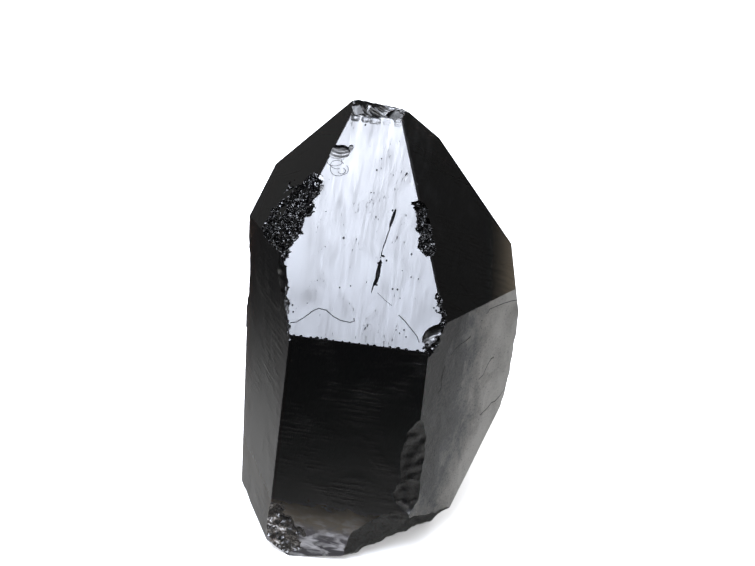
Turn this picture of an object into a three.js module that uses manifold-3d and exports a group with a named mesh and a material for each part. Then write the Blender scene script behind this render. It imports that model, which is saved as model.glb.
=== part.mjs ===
// Raw morion quartz: one smoky-black crystal, a six-sided prism under a six-faced point,
// snapped off its bed. It stands on the broken base and leans slightly back and to the right.
// Millimetres, +Z up. The wide bright point face looks along -Y.

import * as THREE from "three";
import { mergeVertices } from "three/addons/utils/BufferGeometryUtils.js";
import Module from "manifold-3d";

const wasm = await Module();
wasm.setup();

// How the crystal stands: turned about its own length, then leaned sideways, then back.
const TURN_DEG = -100.02;
const LEAN_SIDE_DEG = 3.18;
const LEAN_BACK_DEG = -6.93;
// Height of the table above the crystal's own origin, along world Z.
const REST_HEIGHT = 6.6;
const BLANK_SIZE = 130;
const CUTTER_DEPTH = 40;

// Every face is [azimuth, inclination, distance]: the azimuth and inclination of its outward
// normal in degrees, round and down from the crystal's length, and its distance from the origin.
const FACES = {
  prismFront: [-0.2, 91.0, 13.0],
  prismRight: [60.8, 92.3, 12.98],
  prismLeft: [-60.0, 86.2, 13.77],
  prismBackLeft: [-119.0, 97.0, 11.48],
  prismBackRight: [93.8, 78.3, 23.52],
  prismBack: [180.0, 90.0, 11.5],
  pointFront: [-0.1, 51.9, 30.58],
  pointRight: [59.7, 52.4, 32.63],
  pointLeft: [-60.9, 54.8, 31.75],
  pointBackRight: [118.2, 55.4, 35.3],
  pointBackLeft: [-121.2, 39.4, 45.2],
  pointBack: [167.8, 51.8, 36.5],
};

// Surfaces left by breaks, in the same terms.
const BREAKS = {
  crown: [1.9, 29.3, 44.5],
  sideHigh: [99.2, 92.9, 15.95],
  sideMiddle: [105.3, 100.0, 12.54],
  sideLow: [106.3, 122.9, 3.02],
  sideSliver: [100.6, 119.4, 4.67],
  baseLeft: [-61.3, 137.1, 4.6],
  baseCorner: [-56.3, 142.3, 3.3],
  baseFront: [20.5, 153.2, 0.4],
  baseRight: [45.3, 129.9, 3.5],
  baseBack: [176.0, 140.0, -1.4],
  rest: [165.5, 172.4, -6.6],
};

// Breaks with relief: size of the cutter, its cell, the swell of the surface, and where the blow fell.
const ROUGH_BREAKS = [
  { name: "crown", size: 64, cell: 0.8, swell: 0.1, strike: [-36, 26], seed: 3 },
  { name: "sideHigh", size: 74, cell: 1.2, swell: 0.15, strike: [-6, 34], seed: 11 },
  { name: "sideMiddle", size: 74, cell: 1.2, swell: 0.2, strike: [-6, 34], seed: 12 },
  { name: "sideLow", size: 60, cell: 1.1, swell: 0.25, strike: [-4, 24], seed: 13 },
  { name: "baseRight", size: 50, cell: 1.0, swell: 0.15, strike: [-12, 8], seed: 14 },
  { name: "baseLeft", size: 40, cell: 1.0, swell: 0.12, strike: [6, -4], seed: 15 },
  { name: "baseBack", size: 60, cell: 1.1, swell: 0.3, strike: [10, 20], seed: 16 },
];
const CLEAN_BREAKS = ["sideSliver", "baseCorner", "baseFront"];

// Edges that carry damage: the two faces that meet, then the third face at each end.
const EDGES = {
  crownFront: ["pointFront", "crown", "pointLeft", "pointRight"],
  leftPoint: ["pointFront", "pointLeft", "prismLeft", "crown"],
  leftShoulder: ["pointFront", "prismLeft", "pointLeft", "prismFront"],
  rightPoint: ["pointFront", "pointRight", "prismRight", "crown"],
  rightShoulder: ["pointFront", "prismRight", "prismFront", "pointRight"],
  frontSill: ["pointFront", "prismFront", "prismLeft", "prismRight"],
  frontRight: ["prismFront", "prismRight", "baseRight", "pointFront"],
  frontBase: ["prismFront", "baseRight", "baseFront", "prismRight"],
  backLeft: ["prismBackLeft", "prismLeft", "rest", "pointLeft"],
  backCorner: ["prismBackLeft", "prismBack", "rest", "pointBackLeft"],
  backSill: ["pointBack", "prismBack", "pointBackRight", "pointBackLeft"],
};

// Shell chips across an edge: share along it, reach across, length along, bite, where the blow
// fell, and lean, the share of the first face in the cutter's direction.
const EDGE_CHIPS = [
  { edge: "crownFront", share: 0.05, reach: 2.6, length: 1.7, bite: 0.2, strike: [1.6, 0], lean: 0.3 },
  { edge: "crownFront", share: 0.38, reach: 5.1, length: 3.6, bite: 0.36, strike: [1.6, 0], lean: 0.3 },
  { edge: "crownFront", share: 0.68, reach: 2.7, length: 1.8, bite: 0.22, strike: [1.6, 0], lean: 0.3 },
  { edge: "crownFront", share: 0.93, reach: 3.9, length: 2.6, bite: 0.34, strike: [1.6, 0], lean: 0.3 },
  { edge: "frontRight", share: 0.34, reach: 9, length: 10.4, bite: 1.05, strike: [0, -9], lean: 0.5 },
  { edge: "frontRight", share: 0.13, reach: 8, length: 5, bite: 1.35, strike: [0.4, -5], lean: 0.55 },
  { edge: "frontBase", share: 0.6, reach: 9, length: 10, bite: 0.62, strike: [5, 0], lean: 0.7 },
  { edge: "backLeft", share: 0.78, reach: 6, length: 9, bite: 0.6, strike: [0, -6], lean: 0.5 },
  { edge: "backCorner", share: 0.3, reach: 7, length: 5, bite: 0.7, strike: [1, 4], lean: 0.5 },
  { edge: "backSill", share: 0.3, reach: 9, length: 8, bite: 0.9, strike: [0, 6], lean: 0.5 },
];

// Shell chips in a face: across and up the face, turn, width, length, bite, where the blow fell.
const FACE_CHIPS = [
  { face: "pointFront", across: -4.4, up: 37, turn: 14, size: [3.2, 4.8], bite: 0.6, strike: [0.6, 3] },
  { face: "pointFront", across: 9.2, up: 18.7, turn: -20, size: [2.8, 3.6], bite: 0.5, strike: [1.4, -1.6] },
  { face: "prismFront", across: -6.4, up: 8.6, turn: 20, size: [3.4, 4.2], bite: 0.4, strike: [1.6, 2.6] },
  { face: "rest", across: -1, up: 0, turn: 30, size: [11, 14], bite: 1.0, strike: [-7, 4] },
];
const FINE_CELL = 0.45;
const COARSE_CELL = 0.9;

// Crumbled damage in a face, then along an edge.
const FACE_CRUMBLES = [
  { face: "pointLeft", across: -1.2, up: 29.2, turn: 20, width: 8.5, length: 10, bite: 0.55 },
  { face: "prismLeft", across: 3.4, up: 35.6, turn: 62, width: 4.6, length: 9, bite: 0.5 },
  { face: "prismFront", across: -3.4, up: 6.6, turn: 96, width: 4.4, length: 11, bite: 0.5 },
];
const EDGE_CRUMBLES = [
  { edge: "leftPoint", share: 0.16, reach: 2.6, length: 10, sink: 0.52, lean: 0.35 },
  { edge: "leftShoulder", share: 0.45, reach: 1.9, length: 11, sink: 0.4, lean: 0.35 },
  { edge: "rightPoint", share: 0.46, reach: 1.7, length: 5.6, sink: 0.34, lean: 0.4 },
  { edge: "rightPoint", share: 0.73, reach: 0.9, length: 2, sink: 0.22, lean: 0.5 },
  { edge: "rightShoulder", share: 0.5, reach: 1.2, length: 4.4, sink: 0.3, lean: 0.4 },
];
const CRUMBLE_CELL = 0.52;
const EDGE_CRUMBLE_BITE = 0.1;

// Pits in the bright face. Slits: across, up, turn, width, length. Pits: across, up, size.
const SLITS = [
  [3.0, 30.3, -9, 0.34, 4.2],
  [2.35, 25.0, -2, 0.6, 4.2],
];
const SLIT_DEPTH = 0.42;
const PITS = [
  [-1.6, 41.7, 0.28],
  [0.8, 37.6, 0.22],
  [0.6, 36.2, 0.22],
  [0.4, 33.7, 0.34],
  [-1.8, 28.2, 0.34],
  [3.1, 26.2, 0.36],
  [5.9, 27.3, 0.24],
  [-0.2, 23.0, 0.2],
  [4.7, 23.2, 0.26],
  [6.7, 24.6, 0.24],
];
const NICKS = 11;
const NICK_SEED = 41;

// Growth relief: a step high on the right prism face, plates on the far side, level lines.
const STEP = { across: 2.2, up: 34.1, turn: -3, width: 14, length: 8, fade: 6, height: 0.2 };
const PLATE_HEIGHT = 0.3;
const PLATES = [
  { face: "prismBackLeft", across: 1.2, up: 26, turn: 14, width: 30, length: 40, shift: 15 },
  { face: "prismBack", across: 0, up: 24, turn: -9, width: 40, length: 30, shift: 0 },
];
const LINED_FACES = [
  { face: "prismFront", seed: 4, share: 0.3 },
  { face: "prismBack", seed: 9, share: 0.5 },
];
const LINE_DEPTH = 0.045;
const LINE_PITCH = 0.85;
const LINE_PATCH = 3.4;

// Height and spacing of the shell ripples, and height and width of a crumb, in every broken surface.
const RIPPLE = 0.11;
const RIPPLE_PITCH = 1.25;
const CRUMB = 0.42;
const CRUMB_WIDTH = 0.8;

const DEG = Math.PI / 180;
const PLANES = { ...FACES, ...BREAKS };

// ---- planes, corners and places on the crystal ----

function axesOf(name) {
  const [azimuth, inclination, distance] = PLANES[name];
  const a = azimuth * DEG;
  const i = inclination * DEG;
  const normal = new THREE.Vector3(
    Math.sin(i) * Math.cos(a),
    Math.sin(i) * Math.sin(a),
    Math.cos(i),
  );
  const across = new THREE.Vector3(-Math.sin(a), Math.cos(a), 0);
  const up = new THREE.Vector3().crossVectors(normal, across);
  return { normal, across, up, distance };
}

// A place on a face, across and up from the foot of its normal, turned about the normal.
function onFace(name, across = 0, up = 0, turn = 0, sink = 0) {
  const axes = axesOf(name);
  const point = axes.normal
    .clone()
    .multiplyScalar(axes.distance - sink)
    .addScaledVector(axes.across, across)
    .addScaledVector(axes.up, up);
  return new THREE.Matrix4()
    .makeBasis(axes.across, axes.up, axes.normal)
    .setPosition(point)
    .multiply(new THREE.Matrix4().makeRotationZ(turn * DEG));
}

// The point where three faces meet.
function corner(names) {
  const three = names.map(axesOf);
  const crosses = [0, 1, 2].map((k) =>
    new THREE.Vector3().crossVectors(three[(k + 1) % 3].normal, three[(k + 2) % 3].normal),
  );
  const scale = three[0].normal.dot(crosses[0]);
  const point = new THREE.Vector3();
  crosses.forEach((cross, k) => point.addScaledVector(cross, three[k].distance / scale));
  return point;
}

// A place on an edge: Y runs from its first end to its last, Z points out between the two faces.
function onEdge(name, share, lean, sink = 0) {
  const [first, second, startFace, endFace] = EDGES[name];
  const start = corner([first, second, startFace]);
  const end = corner([first, second, endFace]);
  const along = new THREE.Vector3().subVectors(end, start).normalize();
  const out = new THREE.Vector3()
    .addScaledVector(axesOf(first).normal, lean)
    .addScaledVector(axesOf(second).normal, 1 - lean)
    .normalize();
  const side = new THREE.Vector3().crossVectors(along, out).normalize();
  const point = new THREE.Vector3().lerpVectors(start, end, share);
  point.addScaledVector(out, -sink);
  return new THREE.Matrix4().makeBasis(side, along, out).setPosition(point);
}

// ---- relief ----

// A repeatable random share between 0 and 1 for a cell.
function chance(i, j, seed) {
  const s = Math.sin(i * 127.1 + j * 311.7 + seed * 74.7) * 43758.5453;
  return s - Math.floor(s);
}

// Smooth random height between -1 and 1, one bump per unit.
function bumps(x, y, seed) {
  const i = Math.floor(x);
  const j = Math.floor(y);
  const u = x - i;
  const v = y - j;
  const a = u * u * (3 - 2 * u);
  const b = v * v * (3 - 2 * v);
  const low = chance(i, j, seed) * (1 - a) + chance(i + 1, j, seed) * a;
  const high = chance(i, j + 1, seed) * (1 - a) + chance(i + 1, j + 1, seed) * a;
  return 2 * (low * (1 - b) + high * b) - 1;
}

// Shell ripples round the point where the blow fell: each rises slowly and drops fast.
function ripples(x, y, strike, pitch, height) {
  const phase = (Math.hypot(x - strike[0], y - strike[1]) / pitch) % 1;
  return height * Math.min(phase / 0.75, (1 - phase) / 0.25);
}

function brokenHeight({ swell, strike, seed }) {
  return (x, y) =>
    swell * bumps(x / 7, y / 7, seed) +
    ripples(x, y, strike, RIPPLE_PITCH * 1.5, RIPPLE * 1.6) +
    0.06 * bumps(x / 0.9, y / 0.9, seed + 5);
}

// A bowl with shell ripples, a lopsided floor and a ragged rim.
function chipHeight(width, length, bite, strike, seed) {
  return (x, y) => {
    const bowl = (2 * x / width) ** 2 + (2 * y / length) ** 2 - 1;
    const lop = 0.35 * bumps(x / (0.45 * width), y / (0.45 * length), seed + 1);
    const rim = 0.2 * bumps(x / 0.9, y / 0.9, seed);
    return bite * (bowl + lop + rim) + ripples(x, y, strike, RIPPLE_PITCH, RIPPLE);
  };
}

// A ragged shallow trough filled with crumbs.
function crumbleHeight(width, length, bite, seed) {
  return (x, y) => {
    const trough = (2 * x / width) ** 2 + (2 * y / length) ** 6 - 1;
    const ragged = 0.8 * bumps(x / 2.3, y / 2.3, seed + 3);
    const crumbs = CRUMB * bumps(x / CRUMB_WIDTH, y / CRUMB_WIDTH, seed);
    return bite * (trough + ragged) + crumbs;
  };
}

// Level growth lines in patches.
function lineHeight(seed, share) {
  return (x, y) => {
    const lined = chance(Math.round(y / LINE_PITCH), 7, seed) < share;
    const inPatch = bumps(x / 6, y / 5, seed + 2) > -0.2;
    return lined && inPatch ? -LINE_DEPTH : 0;
  };
}

// ---- solids ----

function solidOf(geometry) {
  const bare = geometry.clone();
  bare.deleteAttribute("normal");
  bare.deleteAttribute("uv");
  const merged = mergeVertices(bare, 1e-4);
  const mesh = new wasm.Mesh({
    numProp: 3,
    vertProperties: new Float32Array(merged.attributes.position.array),
    triVerts: new Uint32Array(merged.index.array),
  });
  return new wasm.Manifold(mesh);
}

function geometryOf(solid) {
  const mesh = solid.getMesh();
  const spots = new Float32Array(mesh.numVert * 3);
  for (let k = 0; k < mesh.numVert; k += 1) {
    const from = k * mesh.numProp;
    spots.set(mesh.vertProperties.subarray(from, from + 3), k * 3);
  }
  const geometry = new THREE.BufferGeometry();
  geometry.setAttribute("position", new THREE.BufferAttribute(spots, 3));
  geometry.setIndex(new THREE.BufferAttribute(new Uint32Array(mesh.triVerts), 1));
  return geometry;
}

function blockAt(place, width, length, depth, middle) {
  const block = new THREE.BoxGeometry(width, length, depth);
  block.translate(middle[0], middle[1], depth / 2);
  block.applyMatrix4(place);
  return solidOf(block);
}

// A block that removes everything above its relief, a height over its lower face.
function cutter(width, length, cell, height, place, cellAcross = cell) {
  const countX = Math.max(1, Math.round(width / cellAcross));
  const countY = Math.max(1, Math.round(length / cell));
  const block = new THREE.BoxGeometry(width, length, CUTTER_DEPTH, countX, countY, 1);
  const spots = block.attributes.position;
  for (let k = 0; k < spots.count; k += 1) {
    const isLower = spots.getZ(k) < 0;
    const lift = isLower ? height(spots.getX(k), spots.getY(k)) : CUTTER_DEPTH;
    spots.setZ(k, lift);
  }
  block.applyMatrix4(place);
  return solidOf(block);
}

function flatCut(name) {
  return blockAt(onFace(name), BLANK_SIZE, BLANK_SIZE, BLANK_SIZE, [0, 0]);
}

// Narrow pit, pointed at both ends.
function slitCut(width, length, depth, place) {
  const slit = new THREE.OctahedronGeometry(1, 0);
  slit.scale(width / 2, length / 2, depth);
  slit.applyMatrix4(place);
  return solidOf(slit);
}

function edgeChip({ edge, share, reach, length, bite, strike, lean }, seed) {
  const cell = Math.min(FINE_CELL, length / 6);
  const height = chipHeight(reach, length, bite, strike, seed);
  return cutter(reach * 1.3, length * 1.3, cell, height, onEdge(edge, share, lean));
}

function faceChip({ face, across, up, turn, size, bite, strike }, seed) {
  const [width, length] = size;
  const cell = Math.min(COARSE_CELL, width / 8);
  const height = chipHeight(width, length, bite, strike, seed);
  return cutter(width * 1.3, length * 1.3, cell, height, onFace(face, across, up, turn));
}

function crumble(width, length, bite, seed, place) {
  const height = crumbleHeight(width, length, bite, seed);
  return cutter(width * 1.5, length * 1.15, CRUMBLE_CELL, height, place);
}

// ---- cutting the crystal ----

const blank = new THREE.BoxGeometry(BLANK_SIZE, BLANK_SIZE, BLANK_SIZE);
let crystal = solidOf(blank);

function remove(tool) {
  crystal = crystal.subtract(tool);
}

for (const name of Object.keys(FACES)) {
  remove(flatCut(name));
}

// Growth relief.
const step = new THREE.BoxGeometry(STEP.width, STEP.length, CUTTER_DEPTH);
step.translate(STEP.width / 2, -STEP.length / 2, CUTTER_DEPTH / 2);
step.rotateX(-Math.atan2(STEP.height, STEP.fade));
step.applyMatrix4(onFace("prismRight", STEP.across, STEP.up, STEP.turn, STEP.height));
remove(solidOf(step));
for (const { face, across, up, turn, width, length, shift } of PLATES) {
  const place = onFace(face, across, up, turn, PLATE_HEIGHT);
  remove(blockAt(place, width, length, CUTTER_DEPTH, [shift, -length / 2]));
}
for (const { face, seed, share } of LINED_FACES) {
  const place = onFace(face, 0, 20);
  remove(cutter(34, 50, LINE_PITCH, lineHeight(seed, share), place, LINE_PATCH));
}

// Large breaks.
for (const rough of ROUGH_BREAKS) {
  remove(cutter(rough.size, rough.size, rough.cell, brokenHeight(rough), onFace(rough.name)));
}
for (const name of CLEAN_BREAKS) {
  remove(flatCut(name));
}

// Chips and crumbled damage.
FACE_CRUMBLES.forEach(({ face, across, up, turn, width, length, bite }, k) => {
  remove(crumble(width, length, bite, 21 + k, onFace(face, across, up, turn)));
});
EDGE_CRUMBLES.forEach(({ edge, share, reach, length, sink, lean }, k) => {
  remove(crumble(reach, length, EDGE_CRUMBLE_BITE, 31 + k, onEdge(edge, share, lean, sink)));
});
EDGE_CHIPS.forEach((chip, k) => remove(edgeChip(chip, 41 + k)));
FACE_CHIPS.forEach((chip, k) => remove(faceChip(chip, 61 + k)));

// Pits in the bright face and nicks along its lower edge.
for (const [across, up, turn, width, length] of SLITS) {
  remove(slitCut(width, length, SLIT_DEPTH, onFace("pointFront", across, up, turn)));
}
for (const [across, up, size] of PITS) {
  remove(slitCut(size, size * 1.3, size * 0.6, onFace("pointFront", across, up)));
}
for (let k = 0; k < NICKS; k += 1) {
  const share = 0.04 + 0.92 * chance(k, 1, NICK_SEED);
  const size = 0.12 + 0.3 * chance(k, 2, NICK_SEED) ** 2;
  remove(slitCut(size * 1.4, size * 3.4, size, onEdge("frontSill", share, 0.5)));
}

// ---- standing it up ----

const lean = new THREE.Euler(LEAN_BACK_DEG * DEG, LEAN_SIDE_DEG * DEG, TURN_DEG * DEG, "XYZ");
const standing = geometryOf(crystal);
standing.applyMatrix4(new THREE.Matrix4().makeRotationFromEuler(lean));
standing.translate(0, 0, -REST_HEIGHT);

// The rest: a level cut at the table.
const below = new THREE.BoxGeometry(BLANK_SIZE, BLANK_SIZE, CUTTER_DEPTH);
below.translate(0, 0, -CUTTER_DEPTH / 2);
const rested = geometryOf(solidOf(standing).subtract(solidOf(below)));

rested.computeBoundingBox();
const middle = rested.boundingBox.getCenter(new THREE.Vector3());
rested.translate(-middle.x, -middle.y, 0);
rested.computeVertexNormals();

const smokyBlack = new THREE.MeshStandardMaterial({
  color: 0x2a2724,
  roughness: 0.18,
  metalness: 0,
  flatShading: true,
});
const crystalMesh = new THREE.Mesh(rested, smokyBlack);
crystalMesh.name = "crystal";

const group = new THREE.Group();
group.name = "raw_morion_quartz";
group.add(crystalMesh);

export default group;
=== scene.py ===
import math
import bpy
import numpy as np
from mathutils import Matrix, Vector


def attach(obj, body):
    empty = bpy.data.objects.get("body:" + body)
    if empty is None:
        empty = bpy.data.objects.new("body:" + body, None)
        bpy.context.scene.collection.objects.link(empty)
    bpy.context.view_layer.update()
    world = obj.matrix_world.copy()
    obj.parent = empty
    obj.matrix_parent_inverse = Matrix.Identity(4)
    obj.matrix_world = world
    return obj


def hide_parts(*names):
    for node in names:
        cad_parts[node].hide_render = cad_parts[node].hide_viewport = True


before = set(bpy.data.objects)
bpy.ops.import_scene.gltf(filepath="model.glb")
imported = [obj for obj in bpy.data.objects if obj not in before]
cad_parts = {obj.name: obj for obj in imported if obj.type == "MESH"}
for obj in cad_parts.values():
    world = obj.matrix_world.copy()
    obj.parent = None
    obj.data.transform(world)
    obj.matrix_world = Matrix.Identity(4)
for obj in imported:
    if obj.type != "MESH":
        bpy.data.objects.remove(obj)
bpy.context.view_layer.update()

mm = 0.001

# Raw morion quartz: one smoky-black crystal snapped off its bed, standing on its broken foot.
# It is modelled in millimetres in its own frame, with Z up its length and X out of the front
# prism face, and stood up on the table at the end.

stance = {
    "turn": -100.02,  # degrees about its own length
    "leanSide": 3.18,
    "leanBack": -6.93,
    "shift": (-2.838, -3.072, -6.6),
}
standUp = (
    Matrix.Rotation(math.radians(stance["leanBack"]), 3, "X")
    @ Matrix.Rotation(math.radians(stance["leanSide"]), 3, "Y")
    @ Matrix.Rotation(math.radians(stance["turn"]), 3, "Z")
)


def deselectAll():
    if bpy.context.object and bpy.context.object.mode != "OBJECT":
        bpy.ops.object.mode_set(mode="OBJECT")
    bpy.ops.object.select_all(action="DESELECT")


def makeActive(piece):
    deselectAll()
    piece.select_set(True)
    bpy.context.view_layer.objects.active = piece


def colourOf(value):  # sRGB hex to linear, or a linear grey from a plain number
    if isinstance(value, float):
        return (value, value, value, 1.0)
    parts = [int(value[k:k + 2], 16) / 255 for k in (1, 3, 5)]
    linear = [c / 12.92 if c <= 0.04045 else ((c + 0.055) / 1.055) ** 2.4 for c in parts]
    return (*linear, 1.0)


# Each face is azimuth and inclination of its outward normal, and its distance, in mm.
faces = {
    "prismFront": (-0.2, 91.0, 13.0),
    "prismRight": (60.8, 92.3, 12.98),
    "prismLeft": (-60.0, 86.2, 13.77),
    "prismBackLeft": (-119.0, 97.0, 11.48),
    "prismBackRight": (93.8, 78.3, 23.52),
    "prismBack": (180.0, 90.0, 11.5),
    "pointFront": (-0.1, 51.9, 30.58),
    "pointRight": (59.7, 52.4, 32.63),
    "pointLeft": (-60.9, 54.8, 31.75),
    "pointBackRight": (118.2, 55.4, 35.3),
    "pointBackLeft": (-121.2, 39.4, 45.2),
    "pointBack": (167.8, 51.8, 36.5),
}
breaks = {
    "crown": (1.9, 29.3, 44.5),
    "sideHigh": (99.2, 92.9, 15.95),
    "sideMiddle": (105.3, 100.0, 12.54),
    "sideLow": (106.3, 122.9, 3.02),
    "sideSliver": (100.6, 119.4, 4.67),
    "baseLeft": (-61.3, 137.1, 4.6),
    "baseCorner": (-56.3, 142.3, 3.3),
    "baseFront": (20.5, 153.2, 0.4),
    "baseRight": (45.3, 129.9, 3.5),
    "baseBack": (176.0, 140.0, -1.4),
    "rest": (165.5, 172.4, -6.6),
}
planes = {**faces, **breaks}

edges = {
    "crownFront": ("pointFront", "crown", "pointLeft", "pointRight"),
    "leftPoint": ("pointFront", "pointLeft", "prismLeft", "crown"),
    "leftShoulder": ("pointFront", "prismLeft", "pointLeft", "prismFront"),
    "rightPoint": ("pointFront", "pointRight", "prismRight", "crown"),
    "rightShoulder": ("pointFront", "prismRight", "prismFront", "pointRight"),
    "frontSill": ("pointFront", "prismFront", "prismLeft", "prismRight"),
    "frontRight": ("prismFront", "prismRight", "baseRight", "pointFront"),
    "frontBase": ("prismFront", "baseRight", "baseFront", "prismRight"),
    "backLeft": ("prismBackLeft", "prismLeft", "rest", "pointLeft"),
    "backCorner": ("prismBackLeft", "prismBack", "rest", "pointBackLeft"),
    "backSill": ("pointBack", "prismBack", "pointBackRight", "pointBackLeft"),
}


def axesOf(name):
    azimuth, inclination, distance = planes[name]
    a, i = math.radians(azimuth), math.radians(inclination)
    normal = Vector((math.sin(i) * math.cos(a), math.sin(i) * math.sin(a), math.cos(i)))
    across = Vector((-math.sin(a), math.cos(a), 0))
    return normal, across, normal.cross(across), distance


def placeFrom(x, y, z, spot, turn=0):
    place = Matrix((x, y, z)).transposed().to_4x4()
    place.translation = spot
    return place @ Matrix.Rotation(math.radians(turn), 4, "Z")


def onFace(name, across=0, up=0, turn=0, sink=0):
    normal, side, rise, distance = axesOf(name)
    spot = normal * (distance - sink) + side * across + rise * up
    return placeFrom(side, rise, normal, spot, turn)


def cornerOf(names):
    three = [axesOf(name) for name in names]
    rows = Matrix([t[0] for t in three])
    return rows.inverted() @ Vector([t[3] for t in three])


def onEdge(name, share, lean, sink=0):
    first, second, startFace, endFace = edges[name]
    start = cornerOf((first, second, startFace))
    end = cornerOf((first, second, endFace))
    along = (end - start).normalized()
    out = (axesOf(first)[0] * lean + axesOf(second)[0] * (1 - lean)).normalized()
    side = along.cross(out).normalized()
    return placeFrom(side, along, side.cross(along), start.lerp(end, share) - out * sink)


# Relief of broken surfaces, as heights over a flat grid.

def chance(i, j, seed):  # a draw from 0 to 1, the same in each run
    s = np.sin(i * 127.1 + j * 311.7 + seed * 74.7) * 43758.5453
    return s - np.floor(s)


def bumps(x, y, seed):  # smooth random height from -1 to 1, one bump per unit
    i, j = np.floor(x), np.floor(y)
    u, v = x - i, y - j
    a, b = u * u * (3 - 2 * u), v * v * (3 - 2 * v)
    low = chance(i, j, seed) * (1 - a) + chance(i + 1, j, seed) * a
    high = chance(i, j + 1, seed) * (1 - a) + chance(i + 1, j + 1, seed) * a
    return 2 * (low * (1 - b) + high * b) - 1


def shells(x, y, strike, pitch, height):  # each ripple rises slowly and drops fast
    crest = 0.75
    phase = (np.hypot(x - strike[0], y - strike[1]) / pitch) % 1
    return height * np.minimum(phase / crest, (1 - phase) / (1 - crest))


ripple = {"height": 0.11, "pitch": 1.25, "fineHeight": 0.022, "finePitch": 0.3}
breakRelief = {
    "swellWidth": 7,
    "wander": 0.5,
    "wanderWidth": 3.1,
    "widerRipples": 1.5,
    "higherRipples": 1.6,
    "finePitch": 0.7,
    "fineHeight": 0.058,
    "grainHeight": 0.06,
    "grainWidth": 0.9,
}
chipRelief = {"lop": 0.35, "lopWidth": 0.45, "rimWidth": 0.9}  # lop makes one side deeper
terraceRelief = {
    "ragged": 0.22,
    "raggedWidth": 0.6,
    "teeth": 0.1,
    "teethWidth": 0.21,
    "shallowEnd": 0.3,
    "swell": 0.08,
    "swellWidth": 0.8,
    "ripplePitch": 0.45,
    "rippleHeight": 0.03,
    "clearance": 0.12,
}
crumbRelief = {
    "height": 0.26,
    "width": 0.8,
    "gritHeight": 0.15,
    "gritWidth": 0.3,
    "flakeHeight": 0.07,
    "flakeWidth": 0.13,
    "ragged": 0.8,
    "raggedWidth": 2.3,
    "teeth": 0.7,
    "teethWidth": 0.7,
    "squareness": 6,
}


def brokenHeight(swell, strike, seed, scale=1.0):
    r = breakRelief
    pitch = ripple["pitch"] * r["widerRipples"] * scale
    rise = ripple["height"] * r["higherRipples"] * scale

    def height(x, y):
        wander = r["wander"] * scale * bumps(x / r["wanderWidth"], y / r["wanderWidth"], seed + 8)
        fine = shells(x + wander, y + wander, strike, r["finePitch"] * scale, r["fineHeight"] * scale)
        grain = r["grainHeight"] * scale * bumps(x / r["grainWidth"], y / r["grainWidth"], seed + 5)
        swells = swell * bumps(x / r["swellWidth"], y / r["swellWidth"], seed)
        return swells + shells(x, y, strike, pitch, rise) + fine + grain
    return height


def chipHeight(size, bite, strike, seed, ribbing=1.0, rough=0.2):
    width, length = size
    r = chipRelief

    def height(x, y):
        bowl = (2 * x / width) ** 2 + (2 * y / length) ** 2 - 1
        lop = r["lop"] * bumps(x / (r["lopWidth"] * width), y / (r["lopWidth"] * length), seed + 1)
        rim = rough * bumps(x / r["rimWidth"], y / r["rimWidth"], seed)
        fine = shells(x, y, strike, ripple["finePitch"], ripple["fineHeight"])
        large = ribbing * shells(x, y, strike, ripple["pitch"], ripple["height"])
        return bite * (bowl + lop + rim) + large + fine
    return height


def terraceHeight(size, bite, strike, seed):  # flat-floored flake with a steep ragged rim
    width, length = size
    r = terraceRelief

    def height(x, y):
        ragged = r["ragged"] * bumps(x / r["raggedWidth"], y / r["raggedWidth"], seed)
        ragged = ragged + r["teeth"] * bumps(x / r["teethWidth"], y / r["teethWidth"], seed + 2)
        edge = (2 * x / width) ** 2 + (2 * y / length) ** 2 + ragged
        # deepest under the rim it broke from
        depth = r["shallowEnd"] + (1 - r["shallowEnd"]) * np.clip(0.5 + y / length, 0, 1)
        swell = 1 + r["swell"] * bumps(x / r["swellWidth"], y / r["swellWidth"], seed + 4)
        ribs = shells(x, y, strike, r["ripplePitch"], r["rippleHeight"] * bite)
        return np.where(edge < 1, ribs - bite * depth * swell, r["clearance"])
    return height


def crumbleHeight(size, bite, seed):
    width, length = size
    r = crumbRelief

    def height(x, y):
        trough = (2 * x / width) ** 2 + np.abs(2 * y / length) ** r["squareness"] - 1
        ragged = r["ragged"] * bumps(x / r["raggedWidth"], y / r["raggedWidth"], seed + 3)
        ragged = ragged + r["teeth"] * bumps(x / r["teethWidth"], y / r["teethWidth"], seed + 4)
        crumbs = r["height"] * bumps(x / r["width"], y / r["width"], seed)
        grit = r["gritHeight"] * bumps(x / r["gritWidth"], y / r["gritWidth"], seed + 6)
        flake = chance(np.round(x / r["flakeWidth"]), np.round(y / r["flakeWidth"]), seed)
        return bite * (trough + ragged) + crumbs + grit + r["flakeHeight"] * (2 * flake - 1)
    return height


# Materials. Patterns are in the crystal's own millimetres. Roughness is a little above that of
# fresh quartz on most of them, so that pits and hairlines too fine for it still show.

quartz = {
    "ior": 1.544,
    "smoke": "#BCA086",  # what the absorption lets through, red before blue
    "density": 1400.0,  # per metre
}

# Turns Object coordinates into the crystal's own frame in millimetres.
backRotation = standUp.transposed()
backShift = backRotation @ -Vector(stance["shift"])


def addNode(tree, kind, settings=None, links=None):
    node = tree.nodes.new("ShaderNode" + kind)
    for key, value in (settings or {}).items():
        if key == "stops":  # a colour ramp's positions and colours, in order
            ramp = node.color_ramp.elements
            ramp[0].position, ramp[0].color = value[0][0], colourOf(value[0][1])
            ramp[1].position, ramp[1].color = value[-1][0], colourOf(value[-1][1])
            for position, colour in value[1:-1]:
                ramp.new(position).color = colourOf(colour)
        elif isinstance(key, int) or key in node.inputs.keys():
            node.inputs[key].default_value = value
        else:
            setattr(node, key, value)
    for key, source in (links or {}).items():
        tree.links.new(source.outputs[0] if hasattr(source, "outputs") else source, node.inputs[key])
    return node


def startMaterial(name):
    material = bpy.data.materials.new(name)
    material.use_nodes = True
    tree = material.node_tree
    tree.nodes.clear()
    return material, tree


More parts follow.
